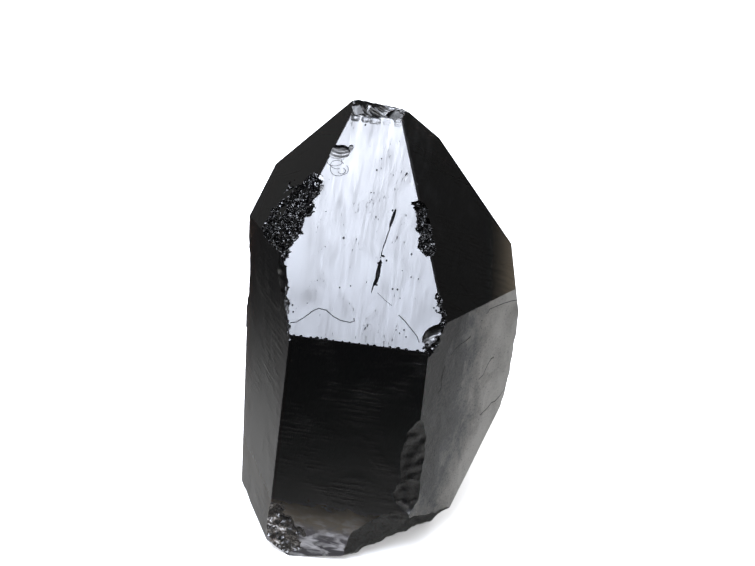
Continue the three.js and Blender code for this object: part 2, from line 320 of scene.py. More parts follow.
def crystalSpace(tree):
    place = addNode(tree, "TexCoord")
    turn = {"Scale": (1000, 1000, 1000), "Rotation": backRotation.to_euler(), "Location": backShift}
    return addNode(tree, "Mapping", turn, {"Vector": place.outputs["Object"]})


def finishQuartz(tree, settings, links):
    surface = addNode(tree, "BsdfPrincipled", {"IOR": quartz["ior"], **settings}, links)
    smoke = {"Color": colourOf(quartz["smoke"]), "Density": quartz["density"]}
    inside = addNode(tree, "VolumeAbsorption", smoke)
    addNode(tree, "OutputMaterial", {}, {"Surface": surface, "Volume": inside})


# Grown point face of smoky quartz: bright, the front one satin, with faint etching down the slope,
# fine pitting painted darker, and a painted brown glow beside the thin broken side for light through it.
def pointFaceMaterial():
    material, tree = startMaterial("morion quartz, grown point face")
    spot = crystalSpace(tree)
    wide = addNode(tree, "Mapping", {"Scale": (0.2, 0.34, 0.2)}, {0: spot})
    long = addNode(tree, "Mapping", {"Scale": (0.3, 2.9, 0.3)}, {0: spot})
    short = addNode(tree, "Mapping", {"Scale": (1.5, 5.5, 1.5)}, {0: spot})
    blotches = addNode(tree, "TexNoise", {"Scale": 1.0, "Detail": 3.0, "Distortion": 0.8}, {0: wide})
    streaks = addNode(tree, "TexNoise", {"Scale": 1.0, "Detail": 4.0, "Distortion": 0.4}, {0: long})
    specks = addNode(tree, "TexNoise", {"Scale": 1.0, "Distortion": 0.3}, {0: short})
    patches = addNode(
        tree, "MapRange", {"From Min": 0.42, "From Max": 0.7, "To Min": 0.78, "To Max": 0.6},
        {"Value": blotches},
    )
    pitted = addNode(tree, "Math", {"operation": "SUBTRACT"}, {0: specks, 1: patches})
    specked = addNode(tree, "MapRange", {"From Max": 0.05}, {"Value": pitted})
    normal, across, up, distance = axesOf("pointFront")
    level = addNode(tree, "VectorMath", {"operation": "DOT_PRODUCT", 1: normal}, {0: spot})
    onFront = addNode(
        tree, "MapRange", {"From Min": distance - 0.4, "From Max": distance - 0.1},
        {"Value": level.outputs["Value"]},
    )
    pitting = addNode(tree, "Math", {"operation": "MULTIPLY"}, {0: specked, 1: onFront})
    dull = addNode(
        tree, "VectorMath", {"operation": "DISTANCE", 1: normal * distance + across * -4.2 + up * 21.3},
        {0: spot},
    )
    dullEdge = addNode(
        tree, "Math", {"operation": "MULTIPLY_ADD", 1: 4.0}, {0: streaks, 2: dull.outputs["Value"]}
    )
    dullPatch = addNode(
        tree, "MapRange", {"From Min": 2.6, "From Max": 3.1, "To Min": 0.08, "To Max": 0.0},
        {"Value": dullEdge},
    )
    both = addNode(tree, "Math", {"operation": "MULTIPLY_ADD", 1: 0.9}, {0: streaks, 2: blotches})
    sheen = addNode(
        tree, "MapRange", {"From Min": 0.75, "From Max": 1.25, "To Min": 0.09, "To Max": 0.215},
        {"Value": both},
    )
    etched = addNode(tree, "Math", {"operation": "MULTIPLY_ADD", 1: 0.19}, {0: onFront, 2: sheen})
    duller = addNode(tree, "Math", {"operation": "ADD"}, {0: etched, 1: dullPatch})
    rough = addNode(tree, "Math", {"operation": "MULTIPLY_ADD", 1: 0.3}, {0: pitting, 2: duller})
    normal = addNode(tree, "Bump", {"Distance": 0.03 * mm}, {"Height": blotches})
    normal = addNode(tree, "Bump", {"Distance": 0.01 * mm}, {"Height": streaks, "Normal": normal})
    normal = addNode(
        tree, "Bump", {"Distance": 0.03 * mm, "invert": True}, {"Height": pitting, "Normal": normal}
    )
    # how near the broken side is, in millimetres along its normal
    side = addNode(tree, "VectorMath", {"operation": "DOT_PRODUCT", 1: axesOf("sideHigh")[0]}, {0: spot})
    near = addNode(
        tree, "MapRange", {"From Min": 11.0, "From Max": 15.1}, {"Value": side.outputs["Value"]}
    )
    # painted glow: near the thin broken side the base colour turns brown and transmission drops a little,
    # standing in for light coming through
    lit = addNode(tree, "Math", {"operation": "POWER", 1: 2.0}, {0: near})
    clear = addNode(tree, "Math", {"operation": "MULTIPLY_ADD", 1: -0.075, 2: 1.0}, {0: lit})
    tint = addNode(tree, "ValToRGB", {"stops": ((0.0, "#FFFFFF"), (0.04, "#BBAA90"))}, {0: lit})
    # painted shade: the pits get a darker base colour as well as a duller, rougher surface
    dark = addNode(tree, "Mix", {"data_type": "RGBA", 7: colourOf("#45484D")}, {0: pitting, 6: tint})
    finishQuartz(
        tree, {},
        {"Base Color": dark.outputs[2], "Transmission Weight": clear, "Roughness": rough,
         "Normal": normal},
    )
    return material


# Grown prism face: dark and glassy, with fine level growth lines in patches. Towards the foot,
# milky veils show in it over a painted brown glow, standing in for light coming through the foot.
def prismFaceMaterial():
    material, tree = startMaterial("morion quartz, grown prism face")
    spot = crystalSpace(tree)
    level = addNode(tree, "Mapping", {"Scale": (0.28, 0.28, 2.7)}, {0: spot})
    broad = addNode(tree, "Mapping", {"Scale": (0.16, 0.16, 0.2)}, {0: spot})
    lines = addNode(tree, "TexNoise", {"Scale": 1.0, "Detail": 3.0, "Distortion": 0.3}, {0: level})
    patches = addNode(tree, "TexNoise", {"Scale": 1.0, "Detail": 3.0, "Distortion": 0.6}, {0: broad})
    grain = addNode(tree, "TexNoise", {"Scale": 4.0, "Detail": 3.0}, {0: spot})
    sharp = addNode(tree, "MapRange", {"From Min": 0.44, "From Max": 0.62}, {"Value": lines})
    where = addNode(
        tree, "MapRange", {"From Min": 0.45, "From Max": 0.65, "To Min": 0.1, "To Max": 1.0},
        {"Value": patches},
    )
    stria = addNode(tree, "Math", {"operation": "MULTIPLY"}, {0: sharp, 1: where})
    normal = addNode(tree, "Bump", {"Distance": 0.12 * mm}, {"Height": patches})
    normal = addNode(tree, "Bump", {"Distance": 0.028 * mm}, {"Height": stria, "Normal": normal})
    normal = addNode(tree, "Bump", {"Distance": 0.006 * mm}, {"Height": grain, "Normal": normal})
    # the veils and the painted glow fill the front of the foot, up to about 12 mm
    axes = addNode(tree, "SeparateXYZ", {}, {0: spot})
    wispSpot = addNode(tree, "Mapping", {"Scale": (0.7, 0.5, 0.9)}, {0: spot})
    wisps = addNode(tree, "TexNoise", {"Scale": 1.0, "Detail": 5.0, "Distortion": 1.1}, {0: wispSpot})
    fineSpot = addNode(tree, "Mapping", {"Scale": (0.8, 0.55, 1.5), "Rotation": (0.35, 0, 0)}, {0: spot})
    fine = addNode(tree, "TexNoise", {"Scale": 1.0, "Detail": 7.0, "Distortion": 0.5}, {0: fineSpot})
    height = addNode(tree, "Math", {"operation": "MULTIPLY_ADD", 1: -3.2}, {0: wisps, 2: axes.outputs[2]})
    depth = addNode(
        tree, "MapRange", {"interpolation_type": "SMOOTHSTEP", "From Min": 10.9, "From Max": 5.2},
        {"Value": height},
    )
    front = addNode(tree, "MapRange", {"From Min": 12.2, "From Max": 12.9}, {"Value": axes.outputs[0]})
    rightward = addNode(
        tree, "MapRange", {"From Min": 2.4, "From Max": 6.0, "To Min": 1.0, "To Max": 0.15},
        {"Value": axes.outputs[1]},
    )
    veilsAndGlow = addNode(tree, "Math", {"operation": "MULTIPLY"}, {0: depth, 1: front})
    veilsAndGlow = addNode(tree, "Math", {"operation": "MULTIPLY"}, {0: veilsAndGlow, 1: rightward})
    clear = addNode(tree, "Math", {"operation": "MULTIPLY_ADD", 1: -0.15, 2: 1.0}, {0: veilsAndGlow})
    # painted glow: a brown base colour towards the foot, shown through lowered transmission, stands in for
    # light coming through the thin foot; it fades to a purple-grey at the very foot
    brown = addNode(
        tree, "ValToRGB",
        {"stops": ((0.0, "#FFFFFF"), (0.04, "#A58E6E"), (0.35, "#93836A"), (0.6, "#857C72"),
                   (0.8, "#69646A"), (1.0, "#48444C"))},
        {0: depth},
    )
    milk = addNode(tree, "MapRange", {"From Min": 0.47, "From Max": 0.68}, {"Value": fine})
    milky = addNode(tree, "Math", {"operation": "MULTIPLY"}, {0: milk, 1: veilsAndGlow})
    tone = addNode(tree, "Mix", {"data_type": "RGBA", 7: colourOf("#EFEDF0")}, {0: milky, 6: brown})
    finishQuartz(
        tree, {"Roughness": 0.28},
        {"Base Color": tone.outputs[2], "Transmission Weight": clear, "Normal": normal},
    )
    return material


# Etched prism face: frosted by fine etch pits and mottled, with dark specks and the rims of thin
# growth plates, and painted darker towards the middle of the crystal and lighter towards its thin side and
# low end.
def etchedFaceMaterial():
    material, tree = startMaterial("morion quartz, etched prism face")
    spot = crystalSpace(tree)
    across, up = axesOf("prismRight")[1:3]
    cloudSpot = addNode(tree, "Mapping", {"Scale": (0.34, 0.34, 0.22)}, {0: spot})
    clouds = addNode(tree, "TexNoise", {"Scale": 1.0, "Detail": 6.0, "Distortion": 0.7}, {0: cloudSpot})
    pitting = addNode(tree, "TexNoise", {"Scale": 3.4, "Detail": 4.0}, {0: spot})
    speckle = addNode(tree, "TexNoise", {"Scale": 5.5}, {0: spot})
    away = addNode(tree, "VectorMath", {"operation": "DOT_PRODUCT", 1: across}, {0: spot})
    # painted light: the tone is darker towards the middle of the crystal and lighter towards its thin
    # side, for light coming through, and lighter towards the low end
    paintedThinSideGlow = addNode(
        tree, "MapRange",
        {"interpolation_type": "SMOOTHSTEP", "From Min": -4.5, "From Max": 7.5, "To Min": -0.21,
         "To Max": 0.65},
        {"Value": away.outputs["Value"]},
    )
    mottle = addNode(
        tree, "MapRange", {"From Min": 0.3, "From Max": 0.7, "To Min": -0.24, "To Max": 0.24},
        {"Value": clouds},
    )
    rise = addNode(tree, "VectorMath", {"operation": "DOT_PRODUCT", 1: up}, {0: spot})
    paintedLowEndLight = addNode(
        tree, "MapRange", {"From Min": 21.0, "From Max": 12.5, "To Max": 0.42},
        {"Value": rise.outputs["Value"]},
    )
    paintedLightSum = addNode(tree, "Math", {"operation": "ADD"}, {0: paintedThinSideGlow, 1: paintedLowEndLight})
    frostAndPaintedLight = addNode(tree, "Math", {"operation": "ADD"}, {0: paintedLightSum, 1: mottle})
    spots = addNode(
        tree, "MapRange", {"From Min": 0.64, "From Max": 0.7, "To Max": 0.5},
        {"Value": speckle},
    )
    grainy = addNode(tree, "Math", {"operation": "MULTIPLY_ADD", 1: 0.5}, {0: pitting, 2: frostAndPaintedLight})
    darkSpots = addNode(tree, "Math", {"operation": "SUBTRACT"}, {0: grainy, 1: spots})
    tone = addNode(
        tree, "ValToRGB",
        {"stops": ((0.0, "#1B1D22"), (0.3, "#42454A"), (0.65, "#918E88"), (1.0, "#BDBAB3"))},
        {0: darkSpots},
    )
    plates = addNode(tree, "Math", {"operation": "MULTIPLY", 1: 7.0}, {0: clouds})
    steps = addNode(tree, "Math", {"operation": "FRACT"}, {0: plates})
    rims = addNode(tree, "MapRange", {"From Max": 0.1}, {"Value": steps})
    normal = addNode(tree, "Bump", {"Distance": 0.025 * mm}, {"Height": rims})
    normal = addNode(tree, "Bump", {"Distance": 0.05 * mm}, {"Height": pitting, "Normal": normal})
    finishQuartz(
        tree, {"Roughness": 0.36, "Transmission Weight": 0.84}, {"Base Color": tone, "Normal": normal}
    )
    return material


# Shell break: bare glassy fracture with fine ribs, painted darker in the troughs of the ribs as shade.
def shellBreakMaterial():
    material, tree = startMaterial("morion quartz, shell break")
    spot = crystalSpace(tree)
    ribs = addNode(tree, "TexNoise", {"Scale": 1.3, "Detail": 4.0, "Distortion": 0.5}, {0: spot})
    # painted shade: the base colour is darker in the troughs of the ribs and white on their crests
    tint = addNode(tree, "ValToRGB", {"stops": ((0.35, "#8C8780"), (0.65, "#FFFFFF"))}, {0: ribs})
    normal = addNode(tree, "Bump", {"Distance": 0.03 * mm}, {"Height": ribs})
    finishQuartz(
        tree, {"Roughness": 0.28, "Transmission Weight": 1.0}, {"Base Color": tint, "Normal": normal}
    )
    return material


# Crown break: one dark, glossy shell fracture whose ripples spread from where the tip was struck, painted
# darker in the ripple troughs and lighter on their crests.
crownRipple = {"strike": (1.0, 30.6), "pitch": 0.42, "height": 0.006, "wander": 0.5}


def crownBreakMaterial():
    material, tree = startMaterial("morion quartz, rippled crown break")
    spot = crystalSpace(tree)
    normal, across, up, distance = axesOf("crown")
    struck = normal * distance + across * crownRipple["strike"][0] + up * crownRipple["strike"][1]
    reach = addNode(tree, "VectorMath", {"operation": "DISTANCE", 1: struck}, {0: spot})
    wander = addNode(tree, "TexNoise", {"Scale": 0.8}, {0: spot})
    wavy = addNode(
        tree, "Math", {"operation": "MULTIPLY_ADD", 1: crownRipple["wander"]},
        {0: wander, 2: reach.outputs["Value"]},
    )
    turns = addNode(
        tree, "Math", {"operation": "MULTIPLY", 1: 2 * math.pi / crownRipple["pitch"]}, {0: wavy}
    )
    wave = addNode(tree, "Math", {"operation": "SINE"}, {0: turns})
    # painted shade and light: darker in the ripple troughs, lighter on the crests
    tint = addNode(tree, "ValToRGB", {"stops": ((0.2, "#0A0A0C"), (0.7, "#4A4846"))}, {0: wave})
    ripples = addNode(tree, "Bump", {"Distance": crownRipple["height"] * mm}, {"Height": wave})
    finishQuartz(
        tree, {"Roughness": 0.14, "Transmission Weight": 1.0}, {"Base Color": tint, "Normal": ripples}
    )
    return material


# Crushed break: a heap of tiny glassy facets, black with sparks. Real ones are finer than these,
# which are about 0.14 mm wide so that they show.
def crushedBreakMaterial():
    material, tree = startMaterial("morion quartz, crushed break")
    spot = crystalSpace(tree)
    facets = addNode(tree, "TexVoronoi", {"Scale": 7.0}, {"Vector": spot})
    middle = {"operation": "SUBTRACT", 1: (0.5, 0.5, 0.5)}
    lean = addNode(tree, "VectorMath", middle, {0: facets.outputs["Color"]})
    surfaceWay = addNode(tree, "NewGeometry")
    tilted = addNode(
        tree, "VectorMath", {"operation": "MULTIPLY_ADD", 1: (9.0, 9.0, 9.0)},
        {0: lean, 2: surfaceWay.outputs["Normal"]},
    )
    facing = addNode(tree, "VectorMath", {"operation": "NORMALIZE"}, {0: tilted})
    tint = addNode(
        tree, "ValToRGB", {"stops": ((0.2, "#060606"), (0.8, "#5A5856"))}, {0: facets.outputs["Color"]}
    )
    finishQuartz(
        tree, {"Roughness": 0.28, "Transmission Weight": 1.0}, {"Base Color": tint, "Normal": facing}
    )
    return material


# Etch pits and cracks: dull inside, and painted near black as shade in the hollow, so they stand out dark
# on a bright face.
def pitMaterial():
    material, tree = startMaterial("morion quartz, etch pit")
    spot = crystalSpace(tree)
    pitShadeNoise = addNode(tree, "TexNoise", {"Scale": 6.0}, {0: spot})
    # painted shade: near black, varied by noise
    tint = addNode(tree, "ValToRGB", {"stops": ((0.4, "#0D0D10"), (0.7, "#2C2B2E"))}, {0: pitShadeNoise})
    finishQuartz(tree, {"Roughness": 0.3, "Transmission Weight": 1.0}, {"Base Color": tint})
    return material


# Foot of the crystal: milky with healed cracks, with a little rust in them.
def footBreakMaterial():
    material, tree = startMaterial("morion quartz, milky foot")
    spot = crystalSpace(tree)
    wispSpot = addNode(tree, "Mapping", {"Scale": (0.7, 0.45, 1.1)}, {0: spot})
    fineSpot = addNode(tree, "Mapping", {"Scale": (3.2, 2.2, 4.0)}, {0: spot})
    wisps = addNode(tree, "TexNoise", {"Scale": 1.0, "Detail": 6.0, "Distortion": 1.2}, {0: wispSpot})
    fine = addNode(tree, "TexNoise", {"Scale": 1.0, "Detail": 4.0, "Distortion": 0.8}, {0: fineSpot})
    rust = addNode(tree, "TexNoise", {"Scale": 0.9, "Detail": 3.0, "Distortion": 0.3}, {0: spot})
    milk = addNode(tree, "Math", {"operation": "MULTIPLY_ADD", 1: 0.45}, {0: fine, 2: wisps})
    cover = addNode(tree, "MapRange", {"From Min": 0.55, "From Max": 1.0}, {"Value": milk})
    tone = addNode(
        tree, "ValToRGB",
        {"stops": ((0.0, "#0E0C0A"), (0.45, "#37322C"), (0.68, "#837D77"), (0.82, "#F4F2F2"))},
        {0: cover},
    )
    stain = addNode(
        tree, "MapRange", {"From Min": 0.55, "From Max": 0.75, "To Max": 0.6},
        {"Value": rust},
    )
    rusted = addNode(
        tree, "Mix", {"data_type": "RGBA", "blend_type": "MULTIPLY", 7: colourOf("#B98A5A")},
        {0: stain, 6: tone},
    )
    normal = addNode(tree, "Bump", {"Distance": 0.06 * mm}, {"Height": fine})
    finishQuartz(
        tree, {"Roughness": 0.28, "Transmission Weight": 0.72},
        {"Base Color": rusted.outputs[2], "Normal": normal},
    )
    return material


finishes = {
    "point": pointFaceMaterial(),
    "prism": prismFaceMaterial(),
    "etched": etchedFaceMaterial(),
    "shell": shellBreakMaterial(),
    "crown": crownBreakMaterial(),
    "crushed": crushedBreakMaterial(),
    "pit": pitMaterial(),
    "foot": footBreakMaterial(),
}


blankSize = 130
cutterDepth = 40
cuts = {  # cell of the grid that a cut is shaped on, its size against the damage, and its seed
    "edgeChip": {"cell": 0.18, "fineCell": 0.07, "margin": (1.3, 1.3), "seed": 41},
    "faceChip": {"cell": 0.3, "fineCell": 0.1, "margin": (1.3, 1.3), "seed": 61},
    "terrace": {"cell": 0.06, "margin": (1.4, 1.4), "seed": 81},
    "faceCrumble": {"cell": 0.12, "margin": (1.5, 1.15), "seed": 21},
    "edgeCrumble": {"cell": 0.14, "margin": (1.5, 1.15), "seed": 31},
}
smallChip = 5  # narrower chips get the fine cell


def newBlank():
    bpy.ops.mesh.primitive_cube_add(size=blankSize)
    blank = bpy.context.object
    blank.name = "morionCrystal"
    for finish in finishes.values():
        blank.data.materials.append(finish)
    bpy.ops.object.mode_set(mode="EDIT")
    for name in faces:
        normal, _, _, distance = axesOf(name)
        bpy.ops.mesh.select_all(action="SELECT")
        bpy.ops.mesh.bisect(
            plane_co=normal * distance, plane_no=normal, use_fill=True, clear_outer=True
        )
    bpy.ops.object.mode_set(mode="OBJECT")
    return blank


def cutAway(piece, tool):
    makeActive(piece)
    bite = piece.modifiers.new("bite", "BOOLEAN")
    bite.operation = "DIFFERENCE"
    bite.solver = "MANIFOLD"
    bite.material_mode = "TRANSFER"
    bite.object = tool
    bpy.ops.object.modifier_apply(modifier=bite.name)
    toolMesh = tool.data
    bpy.data.objects.remove(tool)
    bpy.data.meshes.remove(toolMesh)


def reliefTool(width, length, cell, height, place, finish, rise=0.0):
    countX = max(1, round(width / cell))
    countY = max(1, round(length / cell))
    deselectAll()
    bpy.ops.mesh.primitive_grid_add(x_subdivisions=countX, y_subdivisions=countY, size=1)
    tool = bpy.context.object
    mesh = tool.data
    spots = np.empty(len(mesh.vertices) * 3)
    mesh.vertices.foreach_get("co", spots)
    spots = spots.reshape(-1, 3)
    spots[:, 0] *= width
    spots[:, 1] = spots[:, 1] * length + rise
    spots[:, 2] = height(spots[:, 0], spots[:, 1])
    mesh.vertices.foreach_set("co", spots.ravel())
    mesh.materials.append(finishes[finish])
    bpy.ops.object.mode_set(mode="EDIT")
    bpy.ops.mesh.select_all(action="SELECT")
    bpy.ops.mesh.extrude_region_move(TRANSFORM_OT_translate={"value": (0, 0, cutterDepth)})
    bpy.ops.mesh.select_all(action="SELECT")
    bpy.ops.mesh.normals_make_consistent(inside=False)
    bpy.ops.object.mode_set(mode="OBJECT")
    tool.matrix_world = place
    return tool


def carve(piece, kind, size, height, place, finish):
    cut = cuts[kind]
    width, length = size
    across, along = cut["margin"]
    cell = cut["cell"]
    if width < smallChip:
        cell = cut.get("fineCell", cell)
    cutAway(piece, reliefTool(width * across, length * along, cell, height, place, finish))


def blockTool(width, length, depth, place, finish, middle=(0, 0)):
    deselectAll()
    bpy.ops.mesh.primitive_cube_add(size=1)
    tool = bpy.context.object
    tool.data.materials.append(finishes[finish])
    tool.data.transform(
        Matrix.Translation((middle[0], middle[1], depth / 2))
        @ Matrix.Diagonal((width, length, depth, 1))
    )
    tool.matrix_world = place
    return tool


def pitTool(width, length, depth, place):
    deselectAll()
    bpy.ops.mesh.primitive_ico_sphere_add(subdivisions=1, radius=1)
    tool = bpy.context.object
    tool.data.materials.append(finishes["pit"])
    tool.data.transform(Matrix.Diagonal((width / 2, length / 2, depth, 1)))
    tool.matrix_world = place
    return tool


def hairlineTool(face, radius, line):
    deselectAll()
    curve = bpy.data.curves.new("hairline", "CURVE")
    curve.dimensions = "3D"
    curve.bevel_depth = radius
    curve.bevel_resolution = 0
    curve.use_fill_caps = True
    spline = curve.splines.new("POLY")
    spline.points.add(len(line) - 1)
    for point, (across, up) in zip(spline.points, line):
        point.co = (across, up, 0, 1)
    tool = bpy.data.objects.new("hairline", curve)
    bpy.context.scene.collection.objects.link(tool)
    makeActive(tool)
    bpy.ops.object.convert(target="MESH")
    tool = bpy.context.object
    tool.data.materials.clear()
    tool.data.materials.append(finishes["pit"])
    bpy.ops.object.mode_set(mode="EDIT")
    bpy.ops.mesh.select_all(action="SELECT")
    bpy.ops.mesh.remove_doubles(threshold=0.001)
    bpy.ops.mesh.normals_make_consistent(inside=False)
    bpy.ops.object.mode_set(mode="OBJECT")
    tool.matrix_world = onFace(face)
    return tool


roughBreaks = [
    {"name": "crown", "finish": "crown", "size": 9, "rise": 29, "cell": 0.05, "scale": 0.6, "swell": 0.1,
     "strike": (1.0, 30.6), "seed": 3},
    {"name": "sideHigh", "finish": "shell", "size": 74, "cell": 0.45, "swell": 0.15, "strike": (-6, 34),
     "seed": 11},
    {"name": "sideMiddle", "finish": "shell", "size": 74, "cell": 0.45, "swell": 0.2, "strike": (-6, 34),
     "seed": 12},
    {"name": "sideLow", "finish": "foot", "size": 60, "cell": 0.4, "scale": 2.1, "swell": 0.25,
     "strike": (-4, 24), "seed": 13},
    {"name": "baseRight", "finish": "shell", "size": 50, "cell": 0.35, "scale": 1.8, "swell": 0.15,
     "strike": (-12, 8), "seed": 14},
    {"name": "baseLeft", "finish": "foot", "size": 40, "cell": 0.3, "scale": 1.5, "swell": 0.12,
     "strike": (6, -4), "seed": 15},
    {"name": "baseBack", "finish": "foot", "size": 60, "cell": 0.4, "scale": 2.1, "swell": 0.3,
     "strike": (10, 20), "seed": 16},
]
cleanBreaks = ("sideSliver", "baseCorner", "baseFront")

edgeChips = [
    {"edge": "crownFront", "share": 0.1, "size": (1.5, 1.7), "bite": 0.13, "strike": (1.6, 0),
     "lean": 0.7},
    {"edge": "crownFront", "share": 0.3, "size": (1.3, 1.3), "bite": 0.11, "strike": (1.6, 0),
     "lean": 0.75},
    {"edge": "crownFront", "share": 0.48, "size": (1.6, 1.9), "bite": 0.13, "strike": (1.6, 0),
     "lean": 0.75},
    {"edge": "crownFront", "share": 0.72, "size": (1.3, 1.6), "bite": 0.1, "strike": (1.6, 0),
     "lean": 0.75},
    {"edge": "crownFront", "share": 0.93, "size": (1.9, 1.8), "bite": 0.16, "strike": (1.6, 0),
     "lean": 0.6},
    {"edge": "frontRight", "share": 0.34, "size": (9, 10.4), "bite": 1.05, "strike": (2, -9),
     "lean": 0.5, "ribbing": 0.3, "rough": 0.1},
    {"edge": "frontRight", "share": 0.13, "size": (8, 5), "bite": 1.35, "strike": (0.4, -5),
     "lean": 0.55, "ribbing": 0.3, "rough": 0.1},
    {"edge": "frontBase", "share": 0.6, "size": (9, 10), "bite": 0.62, "strike": (5, 0), "lean": 0.7},
    {"edge": "backLeft", "share": 0.78, "size": (6, 9), "bite": 0.6, "strike": (0, -6), "lean": 0.5},
    {"edge": "backCorner", "share": 0.3, "size": (7, 5), "bite": 0.7, "strike": (1, 4), "lean": 0.5},
    {"edge": "backSill", "share": 0.3, "size": (9, 8), "bite": 0.9, "strike": (0, 6), "lean": 0.5},
]
faceChips = [
    {"face": "crown", "across": -4.3, "up": 30.9, "turn": 40, "size": (2.6, 2.4), "bite": 0.5,
     "strike": (2, -2)},
    {"face": "crown", "across": 3.1, "up": 29.9, "turn": -30, "size": (1.6, 1.8), "bite": 0.35,
     "strike": (-2, 1)},
    {"face": "pointFront", "across": 9.3, "up": 18.6, "turn": -20, "size": (2.5, 3.0), "bite": 0.5,
     "strike": (1.4, -1.6)},
    {"face": "prismFront", "across": -6.4, "up": 8.6, "turn": 20, "size": (3.4, 4.2), "bite": 0.4,
     "strike": (1.6, 2.6)},
    {"face": "prismLeft", "across": 4.3, "up": 36.4, "turn": 50, "size": (3.4, 6.4), "bite": 0.5,
     "strike": (2.4, 3.6)},
    {"face": "rest", "across": -1, "up": 0, "turn": 30, "size": (11, 14), "bite": 1.0, "strike": (-7, 4)},
]
faceCrumbles = [
    {"face": "pointLeft", "finish": "crushed", "across": -1.2, "up": 29.2, "turn": 20,
     "size": (8.5, 10), "bite": 0.55},
    {"face": "prismFront", "finish": "foot", "across": -6.2, "up": 8.6, "turn": 28,
     "size": (3.4, 6.2), "bite": 0.34},
]
edgeCrumbleBite = 0.1
edgeCrumbles = [
    {"edge": "leftPoint", "share": 0.16, "size": (2.6, 10), "sink": 0.52, "lean": 0.35},
    {"edge": "leftShoulder", "share": 0.45, "size": (1.0, 11), "sink": 0.15, "lean": 0.12,
     "finish": "pit"},
    {"edge": "rightPoint", "share": 0.46, "size": (1.7, 5.6), "sink": 0.34, "lean": 0.4},
    {"edge": "rightPoint", "share": 0.07, "size": (0.8, 3.2), "sink": 0.15, "lean": 0.45},
    {"edge": "rightShoulder", "share": 0.5, "size": (1.2, 4.4), "sink": 0.3, "lean": 0.4},
]
slits = [  # across, up, turn, width, length
    (3.05, 31.0, -9, 0.42, 2.8), (2.75, 28.8, -9, 0.16, 3.4),
    (2.42, 25.0, -4, 0.5, 3.1), (2.5, 24.5, -4, 0.36, 2.2), (2.34, 24.0, 3, 0.3, 1.6),
    (2.15, 23.3, -6, 0.18, 2.0),
]
slitDepth = 0.42
ragged = {
    "middle": (2.42, 24.9),
    "length": 3.6,
    "lean": -4,
    "count": 16,
    "scatter": 0.3,
    "size": (0.13, 0.2),  # least, and how much more at most
    "shape": (1.8, 0.7),  # length and depth against width
    "seed": 7,
}
pitShape = (1.3, 0.6)  # length and depth against width
pits = [  # across, up, size
    (-1.6, 41.7, 0.26), (0.8, 37.8, 0.18), (0.5, 36.4, 0.24), (0.3, 33.7, 0.16), (0.6, 33.7, 0.14),
    (-1.8, 28.2, 0.28), (3.1, 26.2, 0.24), (5.6, 27.2, 0.24), (-1.3, 22.7, 0.18), (-0.2, 23.0, 0.18),
    (1.4, 23.6, 0.12), (4.7, 23.2, 0.22), (4.2, 23.2, 0.24), (5.9, 24.7, 0.18), (6.7, 24.6, 0.16),
    (8.7, 21.7, 0.18), (5.1, 22.3, 0.14), (-3.6, 27.0, 0.12), (-3.8, 23.2, 0.12), (-5.9, 20.2, 0.22),
    (-5.7, 19.5, 0.22), (2.9, 31.9, 0.22), (4.9, 25.3, 0.12), (-4.2, 31.0, 0.14), (-4.4, 20.6, 0.14),
    (6.0, 19.0, 0.2), (5.6, 18.6, 0.16), (6.3, 18.3, 0.18), (5.2, 18.9, 0.14),
]
plateDepth = 0.3
plates = [
    {"face": "prismBackLeft", "across": 1.2, "up": 26, "turn": 14, "width": 30, "length": 40, "shift": 15},
    {"face": "prismBack", "across": 0, "up": 24, "turn": -9, "width": 40, "length": 30, "shift": 0},
]
step = {"across": 2.2, "up": 34.1, "turn": -3, "width": 14, "length": 8, "fade": 6, "height": 0.2}

terraces = [
    {"face": "pointFront", "across": -3.9, "up": 38.15, "turn": 0, "size": (2.5, 1.7), "bite": 0.42,
     "strike": (0, 1.5)},
    {"face": "pointFront", "across": -2.75, "up": 38.75, "turn": 0, "size": (0.55, 0.8), "bite": 0.2,
     "strike": (0, 1)},
    {"face": "pointFront", "across": -5.9, "up": 34.6, "turn": 10, "size": (1.6, 1.5), "bite": 0.09,
     "strike": (-1, 0)},
    {"face": "pointFront", "across": -5.2, "up": 33.7, "turn": 60, "size": (0.9, 0.5), "bite": 0.15,
     "strike": (-1, 0)},
    {"face": "pointFront", "across": 3.75, "up": 35.9, "turn": -8, "size": (0.34, 1.2), "bite": 0.2,
     "strike": (1, 0)},
]
nicks = {  # along the sill
    "count": 17,
    "size": 0.24,
    "wander": (0.3, 0.4),  # least, and how much more at most, of the way to the next
    "shape": (1.3, 1.7),  # width and length against size
    "seed": 41,
}
flakeDepth = 3
crownFlakes = [  # across, up, turn, lean, width, length
    (-3.1, 29.7, 24, 20, 1.0, 1.6),
    (-1.5, 29.9, -14, 22, 0.4, 1.1),
    (2.0, 29.1, -38, 19, 1.5, 1.5),
    (0.9, 28.8, 12, 20, 0.5, 0.9),
]
